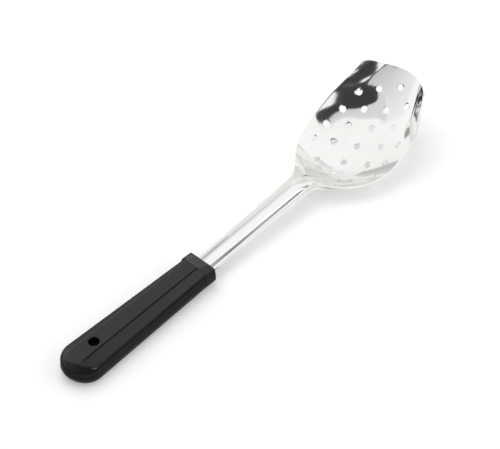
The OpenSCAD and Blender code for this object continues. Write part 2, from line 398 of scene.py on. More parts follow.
@dataclass(frozen=True)
class PolishedSteel:
    """Bright stamped steel, wheel polished, with faint marks along its length."""

    colour: Colour = (0.93, 0.925, 0.905, 1.0)
    shade: Colour = (0.87, 0.86, 0.825, 1.0)
    roughness: float = 0.06
    haze: float = 0.05
    cloud_size: float = 28.0
    mark_size: float = 2600.0
    cross_size: float = 1700.0
    mark_share: float = 0.6
    mark_depth: float = 0.00001
    mark_strength: float = 0.12

    def material(self) -> bpy.types.Material:
        """Returns the finish as a material."""
        made = bpy.data.materials.new("polished_steel")
        shader = Shader(made)
        cloud = shader.noise((1, 1, 1), self.cloud_size, 3)
        marks = shader.noise((0.05, 1, 1), self.mark_size, 4, turn=4)
        cross = shader.noise((0.08, 1, 1), self.cross_size, 3, turn=-13)
        lines = marks * self.mark_share + cross * (1 - self.mark_share)
        colour = shader.blend(cloud.steps(0.35, 0.75) * 0.6, self.colour, self.shade)
        rough = self.roughness + self.haze * (cloud.steps(0.3, 0.7) * 0.5 + lines.steps(0.45, 0.75) * 0.5)
        bump = shader.node(
            "ShaderNodeBump", {}, Strength=self.mark_strength, Distance=self.mark_depth, Height=lines,
        )
        body = shader.node(
            "ShaderNodeBsdfPrincipled", {},
            Base_Color=colour, Metallic=1.0, Roughness=rough, Normal=bump.outputs[0],
        )
        shader.surface(body.outputs[0])
        return made


@dataclass(frozen=True)
class MouldedPlastic:
    """Black moulded plastic with a fine spark grain and a soft sheen."""

    colour: Colour = (0.0042, 0.0042, 0.0046, 1.0)
    bloom: Colour = (0.0075, 0.0078, 0.0072, 1.0)
    roughness: float = 0.19
    cloud_size: float = 45.0
    grain_size: float = 2300.0
    rub_size: float = 900.0
    grain_depth: float = 0.00003
    grain_strength: float = 0.35

    def material(self) -> bpy.types.Material:
        """Returns the finish as a material."""
        made = bpy.data.materials.new("moulded_plastic")
        shader = Shader(made)
        cloud = shader.noise((1, 1, 1), self.cloud_size, 3)
        grain = shader.noise((1, 1, 1), self.grain_size, 2)
        rub = shader.noise((0.12, 1, 1), self.rub_size, 3, turn=6)
        rubbed = rub.steps(0.58, 0.72)
        colour = shader.blend(cloud.steps(0.35, 0.7) * 0.6 + rubbed * 0.3, self.colour, self.bloom)
        rough = self.roughness + cloud.steps(0.3, 0.7) * 0.05 + grain * 0.05 - rubbed * 0.03
        bump = shader.node(
            "ShaderNodeBump", {}, Strength=self.grain_strength, Distance=self.grain_depth, Height=grain,
        )
        body = shader.node(
            "ShaderNodeBsdfPrincipled", {},
            Base_Color=colour, Roughness=rough, IOR=1.5, Normal=bump.outputs[0],
        )
        shader.surface(body.outputs[0])
        return made


@dataclass(frozen=True)
class Hole:
    """One perforation: its middle on the flat blank and its radius on the pressed sheet."""

    x: float
    y: float
    radius: float


@dataclass
class Blade:
    """Steel stamping: a dished bowl, a ribbed neck and the tang inside the handle. Sizes in mm."""

    handle_len: float = 127.0
    front_h: float = 18.8
    sheet_t: float = 1.2
    neck_drop: float = 9.8
    neck_len: float = 92.0
    neck_front_w: float = 16.0
    neck_heel_w: float = 19.0
    rib_h: float = 3.4
    rib_w: float = 13.0
    tongue_len: float = 18.5
    bowl_len: float = 113.0
    bowl_w: float = 76.5
    tip_w: float = 55.0
    tip_bulge: float = 12.5
    tip_corner_r: float = 3.0
    bowl_depth: float = 24.30
    rim_sag: float = 15.0
    bowl_pitch: float = 18.0
    hole_d: float = 4.3
    hole_pitch: float = 13.7
    column_pitch: float = 13.9
    first_hole: float = 37.0
    tongue_hole: float = 27.4
    pairs: Table = ((23.2, 18.6), (28.0, 31.0))
    tang_inset: float = 40.0
    anchor_d: float = 5.0
    anchor_shares: tuple[float, ...] = (0.3, 0.7)
    foot_share: float = 0.1
    plan_shares: Table = (
        (0.03, 0.26), (0.08, 0.335), (0.2, 0.64), (0.4, 0.95), (0.57, 1.0), (0.76, 0.95),
    )
    floor_shares: Table = (
        (0.0, 0.0), (0.06, 0.1), (0.12, 0.33), (0.28, 0.94), (0.37, 1.0), (0.54, 0.95), (0.8, 0.81),
        (1.0, 0.44),
    )
    rim_shares: Table = (
        (0.0, 0.0), (0.1, 0.23), (0.25, 0.7), (0.5, 1.0), (0.75, 0.75), (1.0, 0.0),
    )
    tongue_shares: Table = ((0.0, 1.0), (0.5, 0.85), (1.0, 0.4))
    fan_shares: Table = ((0.0, 1.02), (0.55, 1.14), (0.8, 0.96), (1.0, 0.92))
    columns: tuple[tuple[float, int, float], ...] = (
        (-1.75, 4, 0.1), (-1.0, 4, 0.57), (0.0, 5, 0.0), (1.0, 4, 0.57), (1.75, 4, 0.1),
    )
    dish_power: float = 2.2
    wall_starts: float = 0.56
    wall_full: float = 0.76
    flat_bend: float = 1.4
    wall_reach: Pair = (0.74, 0.92)
    bulge_share: float = 0.4
    bulge_power: float = 1.5
    edge_round: float = 0.2
    heel_reach: float = 16.0
    heel_blur: float = 7.0
    blur_taps: int = 9
    blur_width: float = 1.6
    strips: int = 84
    row_step: float = 0.95
    tang_step: float = 1.45
    corner_rows: int = 9
    floor_steps: int = 800
    dish_steps: int = 400
    rim_pull: float = 0.35
    rim_pull_end: float = 0.3
    punch_margin: float = 1.1
    punch_inset: float = 0.15
    sharp_angle: float = 50.0
    smooth_angle: float = 40.0

    def __post_init__(self) -> None:
        """Works out the lengths and curves that follow from the sizes."""
        self.heel_x = self.handle_len + self.neck_len
        self.corner_len = self.bowl_len - self.tip_bulge
        self.neck_z = self.front_h - self.neck_drop
        widths = [(s, share * self.bowl_w / 2) for s, share in self.plan_shares]
        self.plan = Curve(((0.0, self.neck_heel_w / 2), *widths, (1.0, self.tip_w / 2)))
        self.floor = Curve(self.floor_shares)
        self.rim = Curve(self.rim_shares)
        self.tongue = Curve(self.tongue_shares)
        self.fan = Curve(self.fan_shares)
        middle = np.linspace(0, 1, self.floor_steps + 1)
        self.heel_z = 0.0
        self.heel_z = self.sheet_t - self.bowl(middle, np.zeros_like(middle))[:, 2].min()

    def rib(self, y: np.ndarray, half: np.ndarray, height: np.ndarray) -> np.ndarray:
        """Returns the height of the rib, an arc that runs out in small fillets, at y from its middle."""
        rise = np.maximum(height, 1e-6)
        reach = (half**2 + rise**2) / (2 * rise)
        foot = self.foot_share * reach
        crown = reach - foot
        away = np.abs(y)
        arc = rise - crown + np.sqrt(np.maximum(crown**2 - away**2, 0))
        run_out = foot - np.sqrt(np.maximum(foot**2 - np.clip(half - away, 0, None) ** 2, 0))
        return np.where(away < half * (1 - self.foot_share), arc, np.where(away < half, run_out, 0.0))

    def dish(self, s: np.ndarray, v: np.ndarray) -> np.ndarray:
        """Returns the share of the rise from floor to rim.

        Args:
            s: Shares of the bowl's length.
            v: Shares of its half width.

        Returns:
            An even curve near the heel, and a flat with steeper walls towards the tip.
        """
        fine = np.linspace(0, 1, self.dish_steps + 1)
        step = 1 / self.dish_steps
        wall = ease((fine - self.wall_starts) / (self.wall_full - self.wall_starts))
        low = np.concatenate([[0.0], np.cumsum((fine * (1 - wall))[:-1] * step)])
        high = np.concatenate([[0.0], np.cumsum(wall[:-1] * step)])
        curve = self.flat_bend * low + (1 - self.flat_bend * low[-1]) / high[-1] * high
        start, full = self.wall_reach
        return mix(v**self.dish_power, np.interp(v, fine, curve), ease((s - start) / (full - start)))

    def bowl(self, s: np.ndarray, y: np.ndarray) -> np.ndarray:
        """Places points on the bowl's inner face.

        Args:
            s: Shares of the bowl's length.
            y: Places across it.

        Returns:
            Points in mm from the butt, one row each.
        """
        v = np.abs(y) / self.plan(s)
        along = s * self.corner_len / self.tongue_len
        half = self.rib_w / 2 * self.tongue(np.clip(along, 0, 1))
        rise = self.rib(y, half, self.rib_h * (1 - ease(along)))
        forward = np.clip((s - self.bulge_share) / (1 - self.bulge_share), 0, 1) ** self.bulge_power
        x = s * self.corner_len + self.tip_bulge * (1 - v**2) * forward
        floor = -self.bowl_depth * self.floor(s)
        rim = -self.rim_sag * self.rim(s)
        z = mix(floor, rim, self.dish(s, v)) + rise
        c = math.cos(math.radians(self.bowl_pitch))
        n = math.sin(math.radians(self.bowl_pitch))
        return np.stack([self.heel_x + x * c - z * n, y, x * n + z * c + self.heel_z], axis=1)

    def neck(self, x: np.ndarray, y: np.ndarray) -> np.ndarray:
        """Returns points of the tang's and the neck's upper face at x from the butt and y across."""
        share = np.clip((x - self.handle_len) / self.neck_len, 0, 1)
        z = mix(self.neck_z, self.heel_z, share) + self.rib(y, self.rib_w / 2, self.rib_h)
        return np.stack([x, y, z], axis=1)

    def pressed(self, x: np.ndarray, y: np.ndarray) -> np.ndarray:
        """Presses points of the flat blank, the bend at the heel eased over a short reach.

        Args:
            x: Places along the blank, from the butt.
            y: Places across it.

        Returns:
            Points of the upper face in mm from the butt, one row each.
        """
        away = np.clip(1 - ((x - self.heel_x) / self.heel_reach) ** 2, 0, 1) ** 2
        total = np.zeros((len(x), 3))
        offsets = np.linspace(-1, 1, self.blur_taps)
        weights = np.exp(-((2 * offsets) ** 2) / self.blur_width)
        for offset, weight in zip(offsets, weights / weights.sum()):
            at = x + offset * self.heel_blur * away
            s = np.clip((at - self.heel_x) / self.corner_len, 0, None)
            here = np.where((at < self.heel_x)[:, None], self.neck(at, y), self.bowl(np.clip(s, 0, 1), y))
            total += weight * here
        return total

    def blank(self) -> np.ndarray:
        """Returns the flat blank's points as rows by columns by two, in mm."""
        tang = np.arange(self.tang_inset, self.handle_len, self.tang_step)
        neck_rows = round(self.neck_len / self.row_step)
        neck = np.linspace(self.handle_len, self.heel_x, neck_rows, endpoint=False)
        corner = self.tip_corner_r / self.corner_len
        body = np.linspace(0, 1 - corner, round(self.corner_len / self.row_step))[:-1]
        turn = 1 - corner * (1 - np.sin(np.linspace(0, math.pi / 2, self.corner_rows)))
        shares = np.concatenate([body, turn])
        across = np.linspace(-1, 1, self.strips + 1)
        rows = []
        for x in np.concatenate([tang, neck]):
            share = np.clip((x - self.handle_len) / self.neck_len, 0, 1)
            half = mix(self.neck_front_w, self.neck_heel_w, share**2) / 2
            rows.append(np.stack([np.full_like(across, x), half * across], axis=1))
        for s in shares:
            past = np.clip((s - 1 + corner) / corner, 0, 1)
            half = float(self.plan(s)) - self.tip_corner_r * (1 - math.sqrt(1 - past**2))
            pull = self.rim_pull * float(ease(np.array(s / self.rim_pull_end)))
            spread = mix(across, np.sin(across * math.pi / 2), pull)
            x = np.full_like(across, self.heel_x + s * self.corner_len)
            rows.append(np.stack([x, half * spread], axis=1))
        return np.array(rows)

    def holes(self) -> list[Hole]:
        """Returns all perforations of the bowl and anchor holes of the tang."""
        found = []
        for column, count, start in self.columns:
            for i in range(count):
                x = self.first_hole + (i + start) * self.hole_pitch
                spread = float(self.fan(x / self.corner_len))
                found.append(Hole(self.heel_x + x, column * self.column_pitch * spread, self.hole_d / 2))
        found.append(Hole(self.heel_x + self.tongue_hole, 0.0, self.hole_d / 2))
        for x, gap in self.pairs:
            found.append(Hole(self.heel_x + x, gap / 2, self.hole_d / 2))
            found.append(Hole(self.heel_x + x, -gap / 2, self.hole_d / 2))
        for share in self.anchor_shares:
            found.append(Hole(mix(self.tang_inset, self.handle_len, share), 0.0, self.anchor_d / 2))
        return found

    def spread(self, hole: Hole) -> np.ndarray:
        """Returns the two by two matrix from steps on the blank to steps on the pressed sheet."""
        half_step = 0.5
        x = np.array([hole.x - half_step, hole.x + half_step, hole.x, hole.x])
        y = np.array([hole.y, hole.y, hole.y - half_step, hole.y + half_step])
        p = self.pressed(x, y)
        along = p[1] - p[0]
        aside = p[3] - p[2]
        first = along / np.linalg.norm(along)
        up = np.cross(along, aside)
        second = np.cross(up / np.linalg.norm(up), first)
        return np.array([[along @ first, aside @ first], [along @ second, aside @ second]])

    def punch(self, piece: bpy.types.Object) -> None:
        """Punches the holes in the flat blank, each as an inset block of faces drawn to a circle."""
        mesh = piece.data
        middles = np.zeros(len(mesh.polygons) * 3)
        mesh.polygons.foreach_get("center", middles)
        middles = middles.reshape(-1, 3)[:, :2] / MM
        chosen = np.zeros(len(middles), bool)
        holes = [(hole, self.spread(hole)) for hole in self.holes()]
        for hole, spread in holes:
            away = (middles - [hole.x, hole.y]) @ spread.T
            chosen |= np.hypot(*away.T) < hole.radius + self.punch_margin
        Bench.take(piece)
        Bench.mark(piece, "polygons", chosen)
        bpy.ops.object.mode_set(mode="EDIT")
        bpy.ops.mesh.inset(thickness=self.punch_inset * MM, depth=0, use_boundary=False)
        bpy.ops.mesh.delete(type="FACE")
        bpy.ops.object.mode_set(mode="OBJECT")
        places = Bench.places(piece)
        rim = Bench.rim(piece)
        for hole, spread in holes:
            away = (places[rim, :2] / MM - [hole.x, hole.y]) @ spread.T
            near = np.hypot(*away.T) < hole.radius + 2 * self.punch_margin
            turn = np.arctan2(away[near, 1], away[near, 0])
            order = np.argsort(turn)
            even = 2 * math.pi * np.arange(len(order)) / len(order)
            start = np.angle(np.exp(1j * (turn[order] - even)).mean())
            ring = hole.radius * np.stack([np.cos(even + start), np.sin(even + start)], axis=1)
            flat = ring @ np.linalg.inv(spread).T + [hole.x, hole.y]
            places[rim[near][order], :2] = flat * MM
        Bench.move(piece, places)

    def build(self, butt: float) -> bpy.types.Object:
        """Builds the blade from its flat blank.

        Args:
            butt: Place of the handle's butt along X, in metres.

        Returns:
            The finished piece.
        """
        flat = self.blank() * MM
        level = np.concatenate([flat, np.zeros((*flat.shape[:2], 1))], axis=2)
        piece = Bench.sheet("blade", level)
        self.punch(piece)
        places = Bench.places(piece) / MM
        Bench.move(piece, self.pressed(places[:, 0], places[:, 1]) * MM + [butt, 0, 0])
        Bench.apply(piece, "SOLIDIFY", thickness=self.sheet_t * MM, offset=-1, use_quality_normals=True)
        Bench.apply(
            piece, "BEVEL", width=self.edge_round * MM, segments=2, limit_method="ANGLE",
            angle_limit=math.radians(self.sharp_angle),
        )
        Bench.finish(piece, self.smooth_angle)
        return piece


@dataclass(frozen=True)
class Section:
    """Half section of the handle on its +Y side. Sizes in mm."""

    SUPPORT: ClassVar[float] = 0.12
    ARC_STEPS: ClassVar[tuple[int, int, int]] = (6, 10, 8)
    SIDE_STEPS: ClassVar[int] = 10

    flat: float
    top: float
    half: float
    edge: float
    low: float
    ridge_r: float
    edge_r: float
    under_r: float
    swell: float
    inset: float = 0.0

    @staticmethod
    def fillet(before: np.ndarray, corner: np.ndarray, after: np.ndarray, radius: float,
               steps: int) -> np.ndarray:
        """Rounds a corner.

        Args:
            before: A point on the leg before the corner.
            corner: The corner.
            after: A point on the leg after it.
            radius: Radius of the rounding.
            steps: Number of faces round it.

        Returns:
            An arc tangent to both legs, with a support point just outside each end.
        """
        u = (before - corner) / np.linalg.norm(before - corner)
        v = (after - corner) / np.linalg.norm(after - corner)
        half = math.acos(float(np.clip(u @ v, -1, 1))) / 2
        reach = radius / math.tan(half)
        middle = corner + (u + v) / np.linalg.norm(u + v) * radius / math.sin(half)
        first = corner + u * reach - middle
        last = corner + v * reach - middle
        sweep = math.pi - 2 * half
        shares = np.linspace(0, 1, steps + 1)[:, None]
        arc = (first * np.sin((1 - shares) * sweep) + last * np.sin(shares * sweep)) / math.sin(sweep)
        outer = reach + Section.SUPPORT
        return np.concatenate([[corner + u * outer], middle + arc, [corner + v * outer]])

    def points(self) -> np.ndarray:
        """Returns the half outline from the top's middle to the bottom's middle, as y and z."""
        i = self.inset
        ridge = np.array([self.flat - i, self.top - i])
        edge = np.array([self.half - i, self.edge - i])
        foot = np.array([self.half - i, self.low + i])
        up = np.array([0.0, ridge[1]])
        down = np.array([0.0, foot[1]])
        share = np.linspace(0, 1, self.SIDE_STEPS + 1)[1:-1]
        swollen = edge[0] + self.swell * np.sin(math.pi * share)
        side = np.stack([swollen, mix(edge[1] - self.edge_r, foot[1] + self.under_r, share)], axis=1)
        ridge_steps, edge_steps, under_steps = self.ARC_STEPS
        first = self.fillet(up, ridge, edge, self.ridge_r, ridge_steps)
        second = self.fillet(ridge, edge, foot, self.edge_r, edge_steps)
        last = self.fillet(edge, foot, down, self.under_r, under_steps)
        return np.concatenate([
            [up, up + (first[0] - up) / 2], first, [(first[-1] + second[0]) / 2],
            second[:-1], side, last[1:], [down],
        ])


@dataclass
class Handle:
    """Black moulding: a bevelled bar with a round butt, a collar and a hanging hole. Sizes in mm."""

    blade: Blade
    butt_h: float = 17.6
    under_lift: float = 1.6
    butt_w: float = 32.0
    bar_front_w: float = 23.2
    top_butt_w: float = 13.6
    top_front_w: float = 10.4
    bevel_drop: float = 5.3
    side_swell: float = 0.4
    ridge_r: float = 2.5
    edge_r: float = 4.0
    under_r: float = 3.0
    butt_edge_r: float = 7.5
    butt_under_r: float = 6.0
    butt_margin: float = 0.5
    butt_drop: float = 0.5
    butt_square: int = 6
    edge_hold: int = 8
    under_hold: int = 2
    collar_len: float = 10.0
    collar_w: float = 23.4
    collar_proud: float = 0.8
    shoulder_h: float = 14.4
    collar_fall: float = 4.1
    collar_r: float = 1.0
    collar_edge: float = 0.6
    ramp_len: float = 1.3
    ramp_run: Pair = (-1.2, 3.0)
    bevel_reach: float = 1.1
    bevel_place: float = 0.33
    bevel_breadth: float = 0.12
    hole_d: float = 7.6
    hole_inset: float = 26.5
    hole_chamfer: float = 0.5
    tang_gap: float = 0.1
    cut_over: float = 1.0
    butt_rays: int = 25
    bar_rows: int = 26
    ramp_rows: int = 22
    collar_rows: int = 8
    edge_rows: int = 6
    room_steps: int = 60
    hole_steps: int = 64
    mouth_steps: int = 4
    smooth_angle: float = 38.0

    def __post_init__(self) -> None:
        """Works out the lengths that follow from the sizes."""
        self.length = self.blade.handle_len
        self.collar_x = self.length - self.collar_len
        wide = self.butt_w / 2 + self.side_swell
        taper = (self.butt_w - self.bar_front_w) / 2 / self.collar_x
        self.butt_r = wide / (math.hypot(1, taper) + taper)

    def top(self, x: float) -> float:
        """Returns the height of the flat top at x."""
        return mix(self.butt_h, self.blade.front_h, x / self.length)

    def under(self, x: float) -> float:
        """Returns the height of the underside at x."""
        return self.under_lift * x / self.length

    def bar(self, x: float) -> Section:
        """Returns the bar's section at x."""
        share = x / self.collar_x
        return Section(
            mix(self.top_butt_w, self.top_front_w, share) / 2, self.top(x),
            mix(self.butt_w, self.bar_front_w, share) / 2, self.top(x) - self.bevel_drop,
            self.under(x), self.ridge_r, self.edge_r, self.under_r, self.side_swell,
        )

    def butt(self, degrees: float) -> Section:
        """Returns the section of the round butt on a ray that stands at an angle from its middle line."""
        bar = self.bar(self.butt_r)
        turn = math.sin(math.radians(degrees))
        along = math.cos(math.radians(degrees))
        half = self.butt_r - self.side_swell
        room = half - self.butt_edge_r - self.butt_margin
        power = self.butt_square
        flat = ((turn / bar.flat) ** power + (along / room) ** power) ** (-1 / power)
        slope = self.bevel_drop / (bar.half - bar.flat)
        drop = max(slope * turn * (half - flat), 0.0) + self.butt_drop * (1 - turn)
        return Section(
            flat, bar.top, half, bar.top - drop, bar.low, self.ridge_r,
            mix(self.butt_edge_r, self.edge_r, turn**self.edge_hold),
            mix(self.butt_under_r, self.under_r, turn**self.under_hold), self.side_swell,
        )

    def collar(self, x: float, inset: float = 0.0) -> Section:
        """Returns the collar's section at x, drawn in by an inset."""
        share = max(0.0, (x - self.collar_x) / self.collar_len)
        return Section(
            self.top_front_w / 2 + self.collar_proud, self.blade.front_h - self.collar_fall * share,
            self.collar_w / 2, self.shoulder_h, self.under(x), self.collar_r, self.collar_r, self.under_r,
            self.side_swell, inset,
        )

    @staticmethod
    def both(half: np.ndarray) -> np.ndarray:
        """Returns the whole ring of a half outline, as x, y and z rows."""
        other = half[-2:0:-1] * [1, -1, 1]
        return np.concatenate([half, other])

    def rings(self) -> np.ndarray:
        """Returns the rings of the whole skin, from the middle of the butt to the front face."""
        made = []
        for degrees in np.linspace(0, 90, self.butt_rays):
            outline = self.butt(degrees).points()
            turn = math.radians(degrees)
            x = self.butt_r - outline[:, 0] * math.cos(turn)
            made.append(self.both(np.stack([x, outline[:, 0] * math.sin(turn), outline[:, 1]], axis=1)))
        start, end = self.ramp_run
        ramp = np.linspace(self.collar_x + start, self.collar_x + end, self.ramp_rows)
        front = self.length - self.collar_edge
        behind = np.linspace(self.butt_r, ramp[0], self.bar_rows)[1:-1]
        places = [*behind, *ramp, *np.linspace(ramp[-1], front, self.collar_rows)[1:]]
        count = len(self.bar(0).points())
        across = np.linspace(0, 1, count)
        reach = self.bevel_reach * np.exp(-(((across - self.bevel_place) / self.bevel_breadth) ** 2))
        for x in places:
            bar = self.bar(x).points()
            collar = self.collar(x).points()
            share = ease((x - self.collar_x - reach) / self.ramp_len)[:, None]
            outline = mix(bar, collar, share)
            made.append(self.both(np.column_stack([np.full(count, x), outline])))
        for turn in np.linspace(0, math.pi / 2, self.edge_rows)[1:]:
            x = front + self.collar_edge * math.sin(turn)
            outline = self.collar(x, self.collar_edge * (1 - math.cos(turn))).points()
            made.append(self.both(np.column_stack([np.full(count, x), outline])))
        return np.array(made)

    def room(self, butt: float) -> bpy.types.Object:
        """Returns a tool that cuts the room for the tang, its clearance included."""
        blade = self.blade
        half = blade.neck_front_w / 2 + self.tang_gap
        y = np.linspace(-half, half, self.room_steps + 1)
        z = blade.neck_z + blade.rib(y, blade.rib_w / 2, blade.rib_h)
        slope = np.gradient(z, y)
        away = np.stack([-slope, np.ones_like(slope)], axis=1) / np.hypot(slope, 1)[:, None]
        line = np.stack([y, z], axis=1)
        upper = line + self.tang_gap * away
        lower = line - (blade.sheet_t + self.tang_gap) * away
        ring = np.concatenate([upper, lower[::-1]])
        ends = (blade.tang_inset - self.tang_gap, self.length + 2 * self.cut_over)
        rows = [np.column_stack([np.full(len(ring), x), ring]) for x in ends]
        return Bench.tube("tang_room", np.array(rows) * MM + [butt, 0, 0], (0, -1))

    def hanging_hole(self, butt: float) -> bpy.types.Object:
        """Returns a tool that cuts the hanging hole with its softened mouths."""
        radius = self.hole_d / 2
        mouths = (self.under(self.hole_inset), self.top(self.hole_inset))
        turns = np.linspace(0, math.pi / 2, self.mouth_steps + 1)
        flare = self.hole_chamfer * (1 - np.sin(turns))
        depth = self.hole_chamfer * (1 - np.cos(turns))
        below = [(radius + f, mouths[0] + d) for f, d in zip(flare, depth)]
        above = [(radius + f, mouths[1] - d) for f, d in zip(flare, depth)][::-1]
        wide = radius + self.hole_chamfer
        steps = [(wide, mouths[0] - self.cut_over), *below, *above, (wide, mouths[1] + self.cut_over)]
        around = np.linspace(0, 2 * math.pi, self.hole_steps + 1)[:-1]
        x, y = np.cos(around), np.sin(around)
        rows = [np.column_stack([self.hole_inset + r * x, r * y, np.full_like(x, z)]) for r, z in steps]
        return Bench.tube("hanging_hole", np.array(rows) * MM + [butt, 0, 0], (0, -1))

    def build(self, butt: float) -> bpy.types.Object:
        """Builds the handle.

        Args:
            butt: Place of the butt along X, in metres.

        Returns:
            The finished piece.
        """
        piece = Bench.tube("grip", self.rings() * MM + [butt, 0, 0], (-1,))
        Bench.cut(piece, self.room(butt))
        Bench.cut(piece, self.hanging_hole(butt))
        Bench.finish(piece, self.smooth_angle)
        return piece


@dataclass(frozen=True)
class PaintedReflectionCard:
    """One painted reflection: an emissive sheet that only reflections show, its greys painting dark shapes
    or highlights, given as rows of points in metres.
    """

    ROW_SPLIT: ClassVar[int] = 4
    HORIZON: ClassVar[Pair] = (-0.15, 0.0)
    COLUMNS: ClassVar[int] = 25
    FLOOR_RISE: ClassVar[float] = 0.0006
    BAND_STEPS: ClassVar[int] = 17
    TOP_FADE: ClassVar[float] = 0.985

    name: str
    greys: Pair
    points: np.ndarray
    soft: float

    @classmethod
    def sky(cls, name: str, greys: Pair, rows: Sequence[Triple],
            centre: Triple, radius: float, soft: float) -> "PaintedReflectionCard":
        """Makes a far card, a painted reflection, as a patch of a wide ball, its rows under the horizon laid
        on the floor.

        Args:
            name: Name of the card.
            greys: Brightness at its first and last azimuth, 1 for white.
            rows: Elevation of each row and the azimuths between which it runs, in degrees.
            centre: Place from which the rows are seen at these angles, in metres over the floor.
            radius: Distance of the card in metres.
            soft: Share of the card's width over which its sides fade.

        Returns:
            The card.
        """
        lifts, firsts, lasts = np.array(rows, float).T
        even = np.linspace(lifts[0], lifts[-1], cls.ROW_SPLIT * len(rows) + 1)
        fine = np.sort(np.concatenate([even, cls.HORIZON]))
        fine = fine[(fine >= lifts[0]) & (fine <= lifts[-1])]
        first = np.interp(fine, lifts, firsts)
        last = np.interp(fine, lifts, lasts)
        share = np.linspace(0, 1, cls.COLUMNS)
        a = np.radians(mix(first[:, None], last[:, None], share))
        e = np.radians(fine)[:, None] + 0 * a
        low = np.minimum(centre[2] / np.tan(np.clip(-e, TINY, None)), radius)
        away = np.where(e < 0, low, radius * np.cos(e))
        height = np.where(e < 0, cls.FLOOR_RISE * low, centre[2] + radius * np.sin(e))
        points = [centre[0] + away * np.cos(a), centre[1] + away * np.sin(a), height]
        return cls(name, greys, np.stack(points, axis=2), soft)

    @classmethod
    def band(cls, name: str, greys: Pair, middle: float, run: float,
             turn: Pair, near: Pair, far: Pair) -> "PaintedReflectionCard":
        """Makes a near card, a painted dark reflection, that follows one side of the handle and its butt.

        Args:
            name: Name of the card.
            greys: Brightness at its first and last end, 1 for white.
            middle: Middle of the butt's curve along X, in metres.
            run: Length along the handle's side, in metres.
            turn: Angles round the butt between which the card runs, in degrees.
            near: Distance from the handle's middle line and height of one edge, in metres.
            far: The same for the other edge.

        Returns:
            The card.
        """
        angles = np.radians(np.linspace(*turn, cls.BAND_STEPS))
        side = math.copysign(1, math.sin(angles[0]))
        rows = []
        for away, height in (near, far):
            row = [(middle + away * math.cos(a), away * math.sin(a), height) for a in angles]
            if run > 0:
                row = [(middle + run, side * away, height), *row]
            rows.append(row)
        return cls(name, greys, np.array(rows), 0.0)

    @classmethod
    def near(cls, name: str, greys: Pair, butt: float,
             one: Sequence[Triple], other: Sequence[Triple],
             soft: float) -> "PaintedReflectionCard":
        """Makes a flat card beside the object, a painted reflection.

        Args:
            name: Name of the card.
            greys: Brightness at the first and the last end of its edges, 1 for white.
            butt: Place of the butt along X, in metres.
            one: Ends of one edge, in metres from the butt.
            other: Ends of the edge across from it.
            soft: Share of the edges' length over which the card fades.

        Returns:
            The card.
        """
        return cls(name, greys, np.array([one, other]) + [butt, 0, 0], soft)

    def build(self) -> bpy.types.Object:
        """Returns the card, hidden from the camera, from diffuse light and from shadows, so that only
        reflections show it.
        """
        card = Bench.sheet(self.name, self.points)
        paint = bpy.data.materials.new(self.name)
        shader = Shader(paint)
        place = shader.node("ShaderNodeTexCoord", {}).outputs["UV"]
        axes = shader.node("ShaderNodeSeparateXYZ", {}, Vector=place)
        rise, run = shader.value(axes, 0), shader.value(axes, 1)
        # Painted reflection: these emission greys are seen only by glossy rays, so they paint dark shapes
        # and highlights into the steel and plastic.
        first, last = [(grey, grey, grey, 1.0) for grey in self.greys]
        glow = shader.node("ShaderNodeEmission", {}, Color=shader.blend(run, first, last), Strength=1.0)
        result = glow.outputs[0]
        if self.soft > 0:
            sides = run.steps(0, self.soft) * (1 - run.steps(1 - self.soft, 1))
            share = sides * (1 - rise.steps(self.TOP_FADE, 1))
            clear = shader.node("ShaderNodeBsdfTransparent", {}).outputs[0]
            result = shader.node("ShaderNodeMixShader", {}, n0=share, n1=clear, n2=result).outputs[0]
        shader.surface(result)
        card.data.materials.append(paint)
        card.visible_camera = False
        card.visible_diffuse = False
        card.visible_shadow = False
        return card


